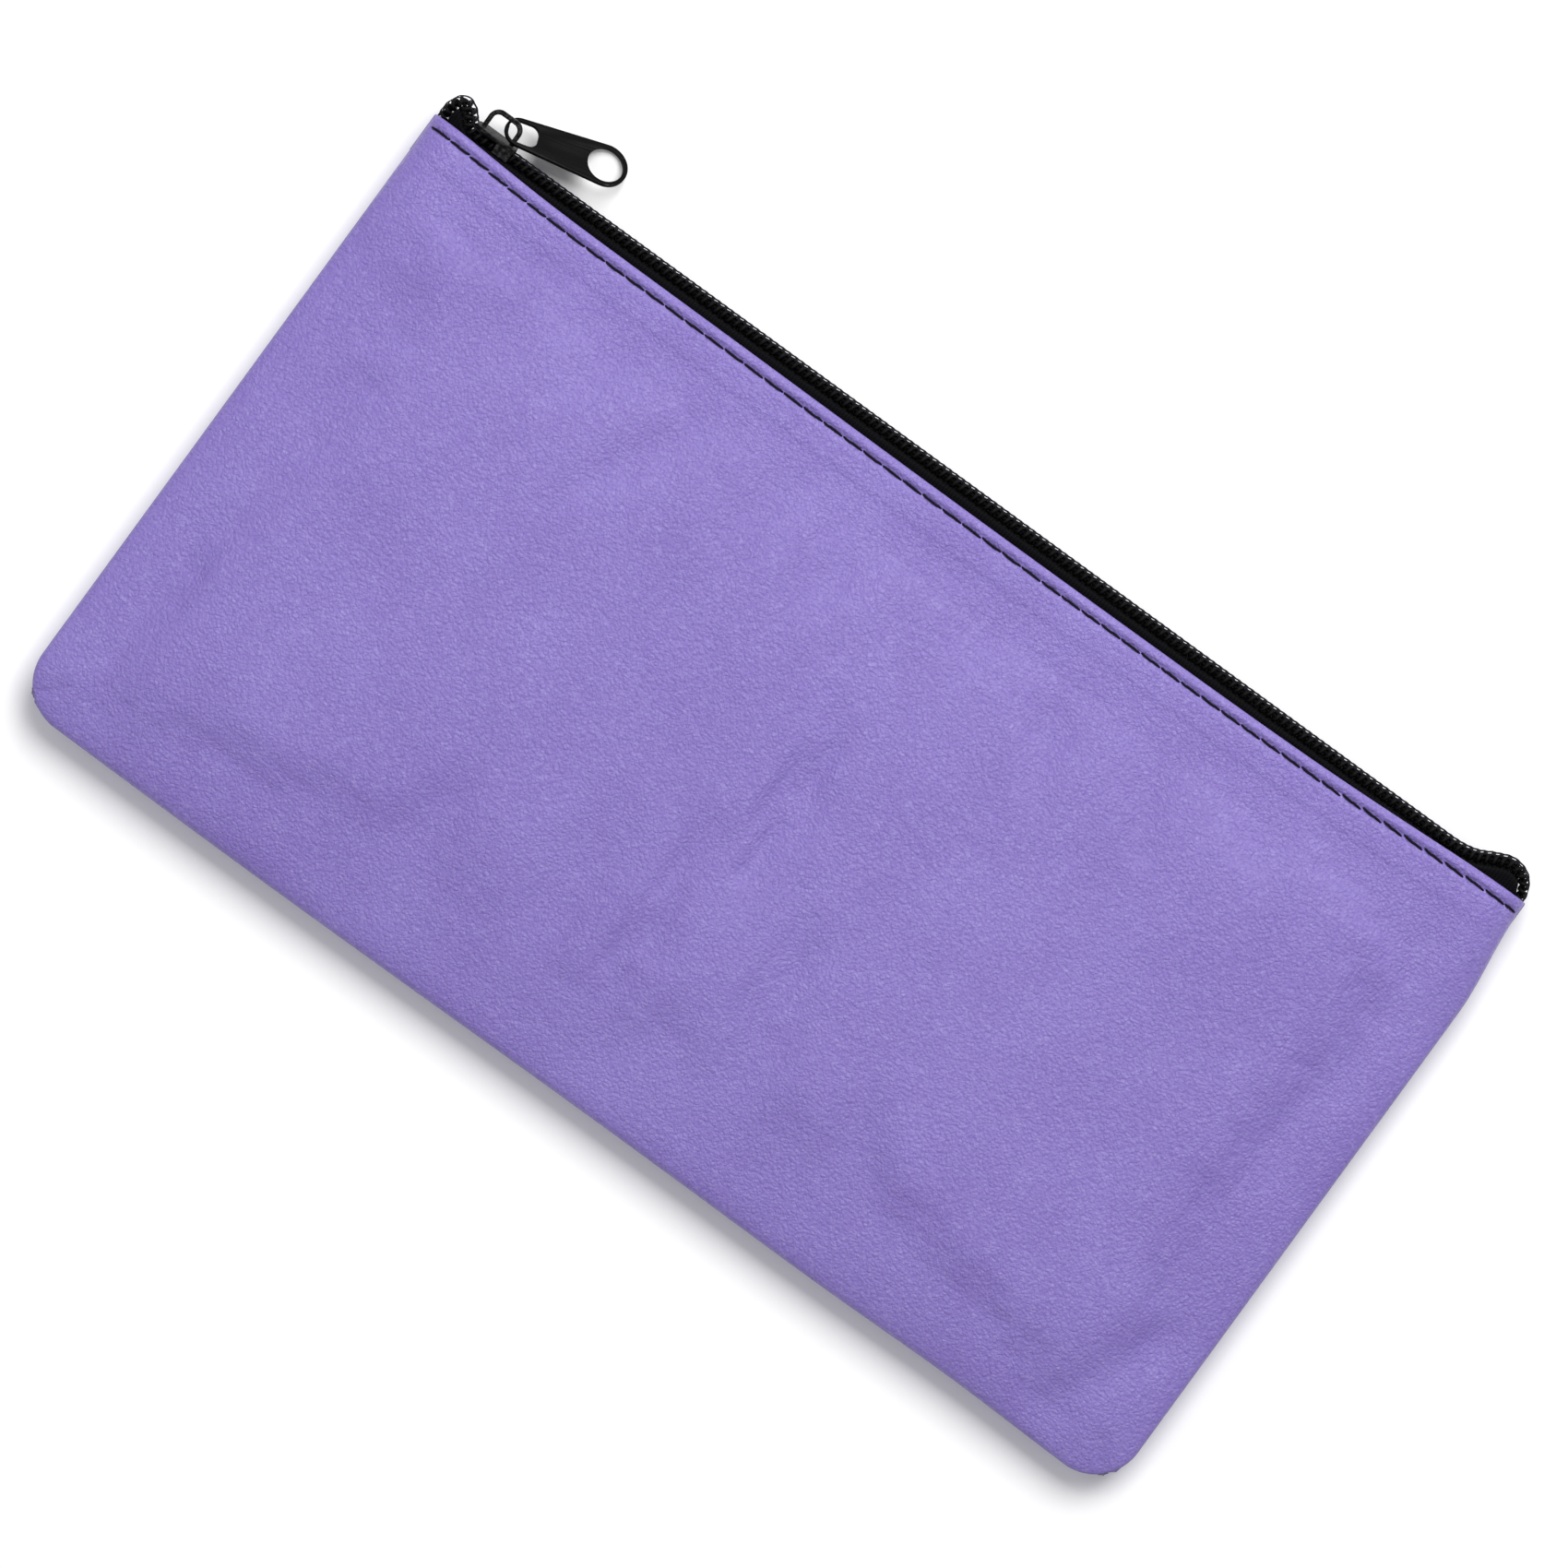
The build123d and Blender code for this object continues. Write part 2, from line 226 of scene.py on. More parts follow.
class Nodes:
    """A short way to write a material's nodes."""

    def __init__(self, name):
        self.material = bpy.data.materials.new(name)
        self.material.use_nodes = True
        self.tree = self.material.node_tree
        self.shader = self.tree.nodes["Principled BSDF"]
        self.place = self.add("ShaderNodeTexCoord").outputs["Object"]

    def add(self, kind, inputs=None, **settings):
        node = self.tree.nodes.new(kind)
        for key, value in settings.items():
            setattr(node, key, value)
        for key, value in (inputs or {}).items():
            self.put(node.inputs[key], value)
        return node

    def put(self, socket, value):
        if isinstance(value, bpy.types.NodeSocket):
            self.tree.links.new(value, socket)
        else:
            socket.default_value = value

    def set(self, **values):
        for key, value in values.items():
            self.put(self.shader.inputs[key.replace("_", " ")], value)

    def noise(self, size, detail=3.0, roughness=0.55):
        inputs = {"Vector": self.place, "Scale": 1 / size}
        inputs.update({"Detail": detail, "Roughness": roughness})
        return self.add("ShaderNodeTexNoise", inputs).outputs["Fac"]

    def cells(self, size, place, feature, **inputs):
        inputs.update({"Vector": place, "Scale": 1 / size})
        return self.add("ShaderNodeTexVoronoi", inputs, feature=feature).outputs["Distance"]

    def math(self, operation, a, b):
        return self.add("ShaderNodeMath", {0: a, 1: b}, operation=operation).outputs[0]

    def span(self, value, low, high, new_low, new_high):
        inputs = {"Value": value, "From Min": low, "From Max": high}
        inputs.update({"To Min": new_low, "To Max": new_high})
        return self.add("ShaderNodeMapRange", inputs).outputs[0]

    def mix(self, share, a, b):
        node = self.add("ShaderNodeMix", data_type="RGBA")
        self.put(node.inputs[0], share)
        self.put(node.inputs[6], a)
        self.put(node.inputs[7], b)
        return node.outputs[2]

    def bump(self, height, distance, strength):
        inputs = {"Height": height, "Distance": distance, "Strength": strength}
        return self.add("ShaderNodeBump", inputs).outputs["Normal"]


def leatherette():
    """Purple vinyl with a fine pebble grain, a soft sheen and slightly uneven colour; shade is painted
    into the grain's valleys as a darker purple.
    """
    n = Nodes("purple_leatherette")
    pebble_size, fine_size, crease_size = 0.72 * MM, 0.36 * MM, 1.15 * MM
    warp_reach = (0.0006, 0.0006, 0.0006)
    shade, tint = (0.200, 0.143, 0.445, 1), (0.228, 0.170, 0.492, 1)
    # The first colour on the next line is a darker purple, painted as shade into the grain's valleys.
    painted_valley_shade, speckle_colour = (0.150, 0.098, 0.400, 1), (0.46, 0.39, 0.74, 1)
    warp = n.noise(4 * MM, 2.0)
    shifted = n.add("ShaderNodeVectorMath", {0: n.place}, operation="ADD")
    shift = n.add("ShaderNodeVectorMath", {0: warp_reach}, operation="SCALE")
    n.put(shift.inputs["Scale"], warp)
    n.put(shifted.inputs[1], shift.outputs[0])
    place = shifted.outputs[0]
    pebbles = n.cells(pebble_size, place, "SMOOTH_F1", Smoothness=0.3)
    fine = n.cells(fine_size, place, "F1")
    crease = n.span(n.cells(crease_size, place, "DISTANCE_TO_EDGE"), 0.0, 0.12, 0.0, 1.0)
    grain = n.math("ADD", n.math("MULTIPLY", pebbles, -0.9), n.math("MULTIPLY", fine, -0.35))
    grain = n.math("ADD", grain, n.math("MULTIPLY", crease, 0.22))
    grain = n.math("ADD", grain, n.math("MULTIPLY", n.noise(0.25 * MM, 2.0), 0.3))
    blotch = n.noise(22 * MM, 3.0)
    speckle = n.noise(1.3 * MM, 3.0)
    colour = n.mix(n.span(blotch, 0.3, 0.7, 0.0, 1.0), shade, tint)
    # Painted shade: the low parts of the grain are mixed towards the darker purple.
    valley = n.span(grain, -0.75, -0.1, 1.0, 0.0)
    colour = n.mix(n.math("MULTIPLY", valley, 0.34), colour, painted_valley_shade)
    colour = n.mix(n.span(speckle, 0.52, 0.72, 0.0, 0.16), colour, speckle_colour)
    n.set(Base_Color=colour, Roughness=n.span(n.noise(3 * MM, 2.0), 0.3, 0.7, 0.36, 0.48))
    n.set(Normal=n.bump(grain, 0.26 * MM, 0.9))
    n.set(Specular_IOR_Level=0.42, Coat_Weight=0.05, Coat_Roughness=0.35)
    return n.material


def knitted_cloth():
    """The grey knitted backing of the vinyl: fine wales with a fuzzy face."""
    n = Nodes("grey_backing_knit")
    wales = n.add("ShaderNodeTexWave", {"Vector": n.place, "Scale": 1 / (4.0 * MM)})
    wales.inputs["Distortion"].default_value = 1.5
    rows = n.add("ShaderNodeTexWave", {"Vector": n.place, "Scale": 1 / (3.2 * MM)})
    rows.bands_direction = "Y"
    knit = n.math("MULTIPLY", wales.outputs["Fac"], rows.outputs["Fac"])
    fuzz = n.noise(0.5 * MM, 4.0)
    height = n.math("ADD", knit, n.math("MULTIPLY", fuzz, 0.5))
    colour = n.mix(knit, (0.13, 0.115, 0.17, 1), (0.24, 0.22, 0.30, 1))
    n.set(Base_Color=colour, Roughness=0.95, Normal=n.bump(height, 0.15 * MM, 0.8))
    n.set(Sheen_Weight=0.3, Sheen_Roughness=0.6, Specular_IOR_Level=0.2)
    return n.material


def woven_tape():
    """Black polyester tape: a tight twill with a dry, slightly fuzzy face."""
    n = Nodes("black_woven_tape")
    slanted = n.add("ShaderNodeMapping", {"Vector": n.place})
    slanted.inputs["Rotation"].default_value = (0.0, 0.0, math.radians(40))
    twill = n.add("ShaderNodeTexWave", {"Vector": slanted.outputs[0], "Scale": 1 / (1.6 * MM)})
    weft = n.add("ShaderNodeTexWave", {"Vector": n.place, "Scale": 1 / (2.4 * MM)})
    fuzz = n.noise(0.3 * MM, 3.0)
    cloth = n.math("ADD", n.math("MULTIPLY", twill.outputs["Fac"], 0.8), weft.outputs["Fac"])
    height = n.math("ADD", cloth, n.math("MULTIPLY", fuzz, 0.7))
    shade, tint = (0.001, 0.001, 0.0015, 1), (0.005, 0.005, 0.006, 1)
    colour = n.mix(n.span(height, 0.3, 2.0, 0.0, 1.0), shade, tint)
    n.set(Base_Color=colour, Roughness=0.86, Normal=n.bump(height, 0.08 * MM, 0.8))
    n.set(Specular_IOR_Level=0.06)
    return n.material


def nylon():
    """Black nylon monofilament: smooth, with faint drawn lines."""
    n = Nodes("black_nylon")
    lines = n.noise(0.12 * MM, 2.0)
    colour = n.mix(n.noise(0.8 * MM), (0.002, 0.002, 0.002, 1), (0.006, 0.006, 0.007, 1))
    n.set(Base_Color=colour, Roughness=n.span(lines, 0.3, 0.7, 0.42, 0.55))
    n.set(Normal=n.bump(lines, 0.01 * MM, 0.5), Specular_IOR_Level=0.07, IOR=1.5)
    return n.material


def sewing_thread():
    """Twisted black polyester thread: fine plies along it and a soft sheen."""
    n = Nodes("black_thread")
    plies = n.add("ShaderNodeTexWave", {"Vector": n.place, "Scale": 1 / (1.1 * MM)})
    plies.inputs["Distortion"].default_value = 2.0
    fuzz = n.noise(0.15 * MM, 3.0)
    height = n.math("ADD", plies.outputs["Fac"], n.math("MULTIPLY", fuzz, 0.5))
    colour = n.mix(plies.outputs["Fac"], (0.002, 0.002, 0.003, 1), (0.010, 0.008, 0.016, 1))
    n.set(Base_Color=colour, Roughness=0.6, Normal=n.bump(height, 0.05 * MM, 0.7))
    n.set(Specular_IOR_Level=0.1)
    return n.material


def black_enamel(name, wear):
    """Black enamel on metal: a faint orange peel, and bare metal where the edges have rubbed."""
    n = Nodes(name)
    peel = n.noise(0.5 * MM, 2.0)
    edges = n.add("ShaderNodeNewGeometry").outputs["Pointiness"]
    scuffs = n.noise(0.9 * MM, 5.0, 0.7)
    sharp = n.span(edges, 0.53, 0.60, 0.0, 1.0)
    rubbed = n.math("MULTIPLY", sharp, n.span(scuffs, 0.45, 0.62, 0.0, wear))
    enamel, metal = (0.002, 0.002, 0.0025, 1), (0.12, 0.115, 0.11, 1)
    colour = n.mix(rubbed, enamel, metal)
    n.set(Base_Color=colour, Metallic=n.math("MULTIPLY", rubbed, 0.8))
    n.set(Roughness=n.span(n.noise(2 * MM, 3.0), 0.3, 0.7, 0.40, 0.55), Specular_IOR_Level=0.07)
    n.set(Normal=n.bump(peel, 0.02 * MM, 0.4))
    return n.material


LEATHER = leatherette()
CLOTH = knitted_cloth()
TAPE_CLOTH = woven_tape()
NYLON = nylon()
THREAD = sewing_thread()
SLIDER_ENAMEL = black_enamel("slider_enamel", 0.35)
TAB_ENAMEL = black_enamel("tab_enamel", 0.5)

# ---------------------------------------------------------------- panels


def edge_rise(x):
    """How much higher the top edge stands near the ends of the zip, where the chain pushes it up."""
    left = RISE_LEFT * bump((x + half_length) / RISE_LEFT_RUN)
    right = RISE_RIGHT * bump((x - half_length) / RISE_RIGHT_RUN)
    return left + right - EDGE_SAG * bump(x / EDGE_SAG_RUN)


def side_pull(x, y):
    """How far the chain's end draws the right side seam in, next to the zip."""
    near_top = smooth((y - top_y + SIDE_PULL_DROP) / SIDE_PULL_DROP)
    near_side = smooth((x - half_length + SIDE_PULL_RUN) / SIDE_PULL_RUN)
    return SIDE_PULL * (near_top * near_side)


def bottom_wave(x):
    """The bottom seam isn't quite straight."""
    bow = 0.25 * MM * (1 + math.sin(2 * math.pi * (x + 30 * MM) / (190 * MM)))
    return bow + 0.8 * MM * bump((x - 100 * MM) / (26 * MM))


def section(distance, run, crown):
    """The share of its full height that a panel has at a distance from a seam; crown is the part
    of it that comes only well inside."""
    t = min(max(distance / run, 0.0), 1.0)
    round_part = math.sqrt(1 - (1 - t) ** 2)
    return (1 - crown) * round_part + crown * smooth(distance / (2.4 * run))


def crest(y):
    """The height of a panel's outer face along the bag, from its plateau to the hem."""
    return smooth((y - PLATEAU_END) / (top_y - HEM_DEPTH - PLATEAU_END))


def valley(x, y, start, end, width):
    """A smooth groove of depth 1 between two points, fading at its ends."""
    along = Vector(end) - Vector(start)
    rel = Vector((x, y)) - Vector(start)
    t = rel.dot(along) / along.length_squared
    off = abs(rel.x * along.y - rel.y * along.x) / along.length
    fade = smooth(t / 0.3) * smooth((1 - t) / 0.3)
    return fade * bump(off / width)


CLOTH_CELL = 4 * MM
CLOTH_FRAMES = 20
CLOTH_CAP = 0.9 * MM  # of the simulated relief
CLOTH_SHARE = 0.9
CLOTH_RIPPLE = 0.1  # mm, the random start that lets folds form
SMOOTHING_PASSES = 60


def simulate_billow(side):
    """Inflates the panel as cloth held at its seams and hem, and returns how far it leaves its
    smooth form, as a grid of heights."""
    columns = round(2 * half_length / CLOTH_CELL) + 1
    rows = round((top_y - bottom_y) / CLOTH_CELL) + 1
    xs = np.linspace(-half_length, half_length, columns)
    ys = np.linspace(bottom_y, top_y, rows)
    random.seed(5 + side)
    points, held = [], []
    for j, y in enumerate(ys):
        for i, x in enumerate(xs):
            share = section(half_length - abs(x), SIDE_RUN, 0) * section(y - bottom_y, BOTTOM_RUN, 0)
            if i in (0, columns - 1) or j == 0 or j >= rows - 2:
                held.append(len(points))
            ripple = random.uniform(-CLOTH_RIPPLE, CLOTH_RIPPLE) * MM * share
            points.append((x, y, side * (depth[side] * share + ripple)))
    cloth = new_object("simulated", points, grid_faces(rows, columns, flip=side == BACK), LEATHER)
    cloth.vertex_groups.new(name="held").add(held, 1.0, "REPLACE")
    simulation = cloth.modifiers.new("cloth", "CLOTH")
    settings = simulation.settings
    settings.vertex_group_mass = "held"
    settings.use_pressure = True
    settings.uniform_pressure_force = 4.0
    settings.effector_weights.gravity = 0.0
    settings.mass = 0.2
    settings.shrink_min = -0.012
    settings.bending_stiffness = 0.5
    simulation.point_cache.frame_start = 1
    simulation.point_cache.frame_end = CLOTH_FRAMES
    for number in range(1, CLOTH_FRAMES + 1):
        bpy.context.scene.frame_set(number)
    apply_modifiers(cloth)
    moved = [side * (v.co.z - p[2]) for v, p in zip(cloth.data.vertices, points)]
    moved = np.array(moved).reshape(rows, columns)
    broad = moved.copy()
    for _ in range(SMOOTHING_PASSES):
        padded = np.pad(broad, 1, mode="edge")
        broad = (padded[:-2, 1:-1] + padded[2:, 1:-1] + padded[1:-1, :-2] + padded[1:-1, 2:]) / 4
    bpy.data.objects.remove(cloth)
    bpy.context.scene.frame_set(1)
    return np.clip((moved - broad) * CLOTH_SHARE, -CLOTH_CAP, CLOTH_CAP)


billow = {side: simulate_billow(side) for _, side in SIDES}


def billowed(side, x, y):
    """The simulated relief at a place on a panel."""
    grid = billow[side]
    if grid is None:
        return 0.0
    at_x = (x + half_length) / (2 * half_length) * (grid.shape[1] - 1)
    at_y = (y - bottom_y) / (top_y - bottom_y) * (grid.shape[0] - 1)
    i = min(max(int(at_x), 0), grid.shape[1] - 2)
    j = min(max(int(at_y), 0), grid.shape[0] - 2)
    u, v = smooth(at_x - i), smooth(at_y - j)
    low = grid[j, i] * (1 - u) + grid[j, i + 1] * u
    high = grid[j + 1, i] * (1 - u) + grid[j + 1, i + 1] * u
    return float(low * (1 - v) + high * v)


def front_relief(x, y):
    """The soft undulations and valleys of the front panel, in metres."""
    left, right, low = -half_length, half_length, bottom_y
    relief = 0.62 * MM * wander(x, y, 46 * MM, 1)
    relief += 0.26 * MM * wander(x, y, 21 * MM, 2)
    relief += 0.05 * MM * wander(x, y, 8 * MM, 3)
    # The start, end and width of each valley, and its depth in mm
    grooves = (
        ((left + 15 * MM, low - 6 * MM), (left + 13 * MM, low + 62 * MM), 5 * MM, 1.3),
        ((right - 4 * MM, low + 44 * MM), (right - 26 * MM, low - 2 * MM), 5 * MM, 1.5),
        ((right - 15 * MM, low + 60 * MM), (right - 12 * MM, top_y), 6 * MM, 1.0),
        ((left + 30 * MM, low + 9 * MM), (right - 60 * MM, low + 11 * MM), 6 * MM, 0.5),
        ((left + 60 * MM, top_y - 5 * MM), (left + 20 * MM, top_y - 40 * MM), 9 * MM, 0.3),
    )
    for start, end, width, share in grooves:
        relief -= share * MM * valley(x, y, start, end, width)
    return relief


def stitch_phase(x):
    """0 at a needle hole and 1 half way to the next."""
    return 0.5 - 0.5 * math.cos(2 * math.pi * x / STITCH_PITCH)


def hem_relief(x, inset):
    """The hem's roll, the groove that the topstitching pulls and the puckers below it."""
    hole = 1 - stitch_phase(x)
    groove = (0.45 + 0.2 * hole) * bump((inset - STITCH_INSET) / (0.75 * MM))
    roll = 0.2 * bump((inset - 1.4 * MM) / (0.8 * MM)) - 0.4 * bump(inset / (0.8 * MM))
    wobble = noise.noise(Vector((x / (5 * MM), 3.7, 0)))
    below = smooth((inset - STITCH_INSET) / (0.8 * MM)) * bump((inset - STITCH_INSET) / (4 * MM))
    pucker = below * (0.13 * (0.5 - hole) + 0.12 * wobble)
    step = -0.22 * smooth((inset - HEM_DEPTH + 1 * MM) / (1.6 * MM))
    return (roll - groove + pucker + step) * MM


def curl(distance):
    """A seam edge in section: (inset, height above the seams) at a signed distance along it.
    Past the seam the edge rolls under, and then it runs inside as the seam allowance."""
    roll = SEAM_ROLL * math.pi / 2
    if distance >= 0:
        return distance, SEAM_ROLL + EDGE_GAP
    if distance > -roll:
        angle = -distance / SEAM_ROLL
        return SEAM_ROLL * (1 - math.cos(angle)), EDGE_GAP + SEAM_ROLL * (1 - math.sin(angle))
    return SEAM_ROLL - roll - distance, EDGE_GAP


def face_height(side, x, y, from_side, from_bottom):
    """The height of a panel's outer face above the seams, with all its relief."""
    floor = SEAM_ROLL + EDGE_GAP
    near_zip = smooth((y - top_y + 34 * MM) / (24 * MM))
    run = SIDE_RUN + (ZIP_END_RUN - SIDE_RUN) * near_zip
    full = depth[side] - RELIEF_ROOM
    full += (HEM_RISE - full) * crest(y)
    share = section(from_side, run, CROWN * (1 - near_zip))
    share *= section(from_bottom, BOTTOM_RUN, CROWN)
    height = floor + (full - floor) * share
    calm = smooth((top_y - y) / (30 * MM))
    relief = front_relief(x, y) if side == FRONT else -abs(0.3 * MM * wander(x, y, 30 * MM, 5))
    relief += billowed(side, x, y)
    height += relief * share * (0.35 + 0.65 * calm)
    height += hem_relief(x, top_y - y) * smooth((y - top_y + 22 * MM) / (6 * MM)) * share
    limit = depth[side] - SOFT_LIMIT
    if height > limit:
        height = depth[side] - SOFT_LIMIT * math.exp((limit - height) / SOFT_LIMIT)
    return height


def panel_point(side, from_side, way, from_bottom, over):
    """A point of a panel's outer face. from_side and from_bottom are signed distances along the
    face from the seams, way is the side seam that from_side is measured from, and over is how
    far the point is past the folded top edge."""
    side_in, side_low = curl(from_side)
    bottom_in, bottom_low = curl(from_bottom)
    a, b = CORNER - side_in, CORNER - bottom_in
    if a > 0 and b > 0:
        scale = max(a, b) / math.hypot(a, b)
        a, b = a * scale, b * scale
    x = way * (half_length - CORNER + a)
    y = bottom_y + CORNER - b + bottom_wave(x) * (1 - smooth(from_bottom / (40 * MM)))
    if from_side < 0 or from_bottom < 0:
        height = min(side_low, bottom_low)
    else:
        height = face_height(side, x, y, from_side, from_bottom)
    rise = edge_rise(x)
    y += rise * smooth((y - top_y + 45 * MM) / (45 * MM))
    x -= side_pull(x, y)
    if over > 0:
        y, height = fold_under(height, 1 if from_side >= 0 else -1, over, rise)
    return x, y, height


def fold_under(height, facing, over, rise):
    """Rolls what is past the folded edge over and down inside the hem. facing is 1 on a panel's
    face and -1 on its seam allowance, which folds the other way."""
    radius = min(HEM_ROLL, max((height - EDGE_GAP) * 0.45, 0.1 * MM)) if facing > 0 else 0.1 * MM
    top = top_y + rise
    along = over / (HEM_ROLL * math.pi)
    if along < 1:
        angle = along * math.pi
        level = height - facing * radius * (1 - math.cos(angle))
        return top - HEM_ROLL + HEM_ROLL * math.sin(angle), level
    return top - HEM_ROLL - (over - HEM_ROLL * math.pi), height - facing * 2 * radius


def steps(start, end, fine, coarse, margin):
    """Places from start to end, spaced finely within a margin of each end and coarsely between."""
    places = [start]
    while places[-1] < end:
        near = min(places[-1] - start, end - places[-1])
        share = smooth((near - margin * 0.4) / margin)
        places.append(places[-1] + fine + (coarse - fine) * share)
    places[-1] = end
    return places


def panel_grid(side, allowance, hem):
    """The points of a panel's outer face, as rows of points from the bottom seam up."""
    curl_length = SEAM_ROLL * math.pi / 2
    edge = [-curl_length - allowance, -curl_length - allowance / 2] if allowance else []
    edge += [-curl_length * (1 - k / 4) for k in range(4)]
    half = steps(0.0, half_length, FINE_STEP, COARSE_STEP, 12 * MM)
    columns = [(d, -1) for d in edge + half[:-1]] + [(half_length, 1)]
    columns += [(d, 1) for d in reversed(edge + half[:-1])]
    height = top_y - HEM_ROLL - bottom_y
    body = steps(0.0, height - HEM_BAND, FINE_STEP, COARSE_STEP, 10 * MM)
    body += [height - HEM_BAND + k * 0.3 * MM for k in range(1, 21)]
    rows = [(d, 0.0) for d in edge + body]
    if hem:
        rows += [(height, HEM_ROLL * math.pi * k / 8) for k in range(1, 9)]
        rows += [(height, HEM_ROLL * math.pi + k * (HEM_DEPTH - HEM_ROLL) / 4) for k in range(1, 5)]
    points = []
    for from_bottom, over in rows:
        row = []
        for from_side, way in columns:
            x, y, z = panel_point(side, from_side, way, from_bottom, over)
            row.append(Vector((x, y, seam_level + side * z)))
        points.append(row)
    return points


def make_panel(word, side):
    points = panel_grid(side, ALLOWANCE, True)
    rows, columns = len(points), len(points[0])
    flat = [p for row in points for p in row]
    faces = grid_faces(rows, columns, flip=side == BACK)
    panel = new_object(f"{word}_leatherette", flat, faces, LEATHER)
    solidify(panel, SKIN)
    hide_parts(f"{word}_panel")
    return panel


def make_lining(word, side, panel_points):
    """The knitted cloth: the panel's inner face, moved in by the vinyl's thickness."""
    rows, columns = len(panel_points), len(panel_points[0])
    flat = [p for row in panel_points for p in row]
    faces = grid_faces(rows, columns, flip=side == BACK)
    lining = new_object(f"{word}_lining", flat, faces, CLOTH)
    shift = [v.co - v.normal * (SKIN + 0.03 * MM) for v in lining.data.vertices]
    lining.data.vertices.foreach_set("co", [c for p in shift for c in p])
    solidify(lining, LINING)
    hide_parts(f"{word}_backing")
    return lining


panels = {}
for word, side in SIDES:
    panels[word] = make_panel(word, side)
    panels[word + "_lining"] = make_lining(word, side, panel_grid(side, 0, False))

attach(panels["back"], "back")
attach(panels["back_lining"], "back")


def open_with_front(piece):
    """Bakes the piece's placement into its mesh."""
    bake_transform(piece)


open_with_front(panels["front"])
open_with_front(panels["front_lining"])

# ---------------------------------------------------------------- threads, coils and tapes


def tubes(name, runs, material, sides=6):
    """One object of round threads. A run is its points, a direction off its line at each, and radii."""
    vertices, faces = [], []
    angles = np.arange(sides) * 2 * math.pi / sides
    for points, away, radii in runs:
        points, away = np.array(points), np.array(away)
        along = np.gradient(points, axis=0)
        along /= np.linalg.norm(along, axis=1)[:, None]
        out = away - (away * along).sum(axis=1)[:, None] * along
        out /= np.linalg.norm(out, axis=1)[:, None]
        across = np.cross(along, out)
        turn = np.cos(angles)[None, :, None] * out[:, None]
        turn = turn + np.sin(angles)[None, :, None] * across[:, None]
        rings = points[:, None] + np.array(radii)[:, None, None] * turn
        first = len(vertices)
        vertices.extend(rings.reshape(-1, 3).tolist())
        faces += grid_faces(len(points), sides, first, closed=True)
        faces.append(tuple(range(first, first + sides))[::-1])
        faces.append(tuple(range(len(vertices) - sides, len(vertices))))
    return new_object(name, vertices, faces, material)


# The chain's line in the plane of the zip: along the bag, and outwards from the closed chain.
# It is straight where the slider runs, and turns down into the side seams at its ends.
CHAIN_LINE = (
    (-137.9, -3.4), (-138.1, -0.6), (-137.8, 2.2), (-136.4, 3.6), (-134.5, 2.8), (-132.9, 1.0),
    (-131.4, 0.1), (-125.0, 0.0), (-60.0, 0.0), (60.0, 0.0), (114.0, 0.0), (119.5, 0.1),
    (123.5, 0.9), (127.3, 2.8), (130.6, 4.0), (133.8, 3.2), (135.6, 0.7), (135.8, -3.4),
)


def smooth_line(points, spacing):
    """Points along a smooth curve through the given ones, evenly spaced."""
    ends = [2 * points[0] - points[1]] + list(points) + [2 * points[-1] - points[-2]]
    fine = []
    for p0, p1, p2, p3 in zip(ends, ends[1:], ends[2:], ends[3:]):
        reach = np.linalg.norm(p2 - p1)
        start = (p2 - p0) * reach / (np.linalg.norm(p1 - p0) + reach)
        end = (p3 - p1) * reach / (np.linalg.norm(p3 - p2) + reach)
        for t in np.arange(0, 1, 0.02):
            t2, t3 = t * t, t * t * t
            hermite = (2 * t3 - 3 * t2 + 1) * p1 + (t3 - 2 * t2 + t) * start
            fine.append(hermite + (3 * t2 - 2 * t3) * p2 + (t3 - t2) * end)
    fine = np.array(fine + [points[-1]])
    length = np.concatenate([[0], np.cumsum(np.linalg.norm(np.diff(fine, axis=0), axis=1))])
    places = np.arange(0, length[-1], spacing)
    return np.stack([np.interp(places, length, fine[:, k]) for k in range(2)], axis=1)


LINE_STEP = 0.1 * MM
chain_line = smooth_line([np.array(p) * MM for p in CHAIN_LINE], LINE_STEP)
chain_slope = np.gradient(chain_line, axis=0)
chain_slope /= np.linalg.norm(chain_slope, axis=1)[:, None]
chain_length = (len(chain_line) - 1) * LINE_STEP
X_AXIS = np.array((1.0, 0.0, 0.0))
OUT = np.array(out_axis)
ACROSS = np.array(across_axis)
CENTRE = np.array(chain_centre)


def chain_frame(place):
    """The centre of the chain at a length along it, and its outward direction there."""
    at = place / LINE_STEP
    steps_along = np.arange(len(chain_line))
    x, out = (np.interp(at, steps_along, chain_line[:, k]) for k in range(2))
    slope_x, slope_out = (np.interp(at, steps_along, chain_slope[:, k]) for k in range(2))
    centre = CENTRE + X_AXIS * x + OUT * out
    return centre, OUT * slope_x - X_AXIS * slope_out


def parting(x):
    """How far each coil stands off the chain's centre line: they part round the slider's divider."""
    nose = slider_low.x
    if x > nose:
        return PARTED * min(max((slider_x + PARTING_START - x) / PARTING_RUN, 0.0), 1.0)
    share = smooth((x + CHAIN_LEFT) / (CHAIN_LEFT + nose))
    return PARTED * (PARTED_ENDS + (1 - PARTED_ENDS) * share)


def chain_point(place, side, across, height):
    centre, out = chain_frame(place)
    squeeze = 0.55 + 0.45 * smooth(min(place, chain_length - place) / (4 * MM))
    return centre + side * ACROSS * (across + parting(centre[0])) * squeeze + out * height, out


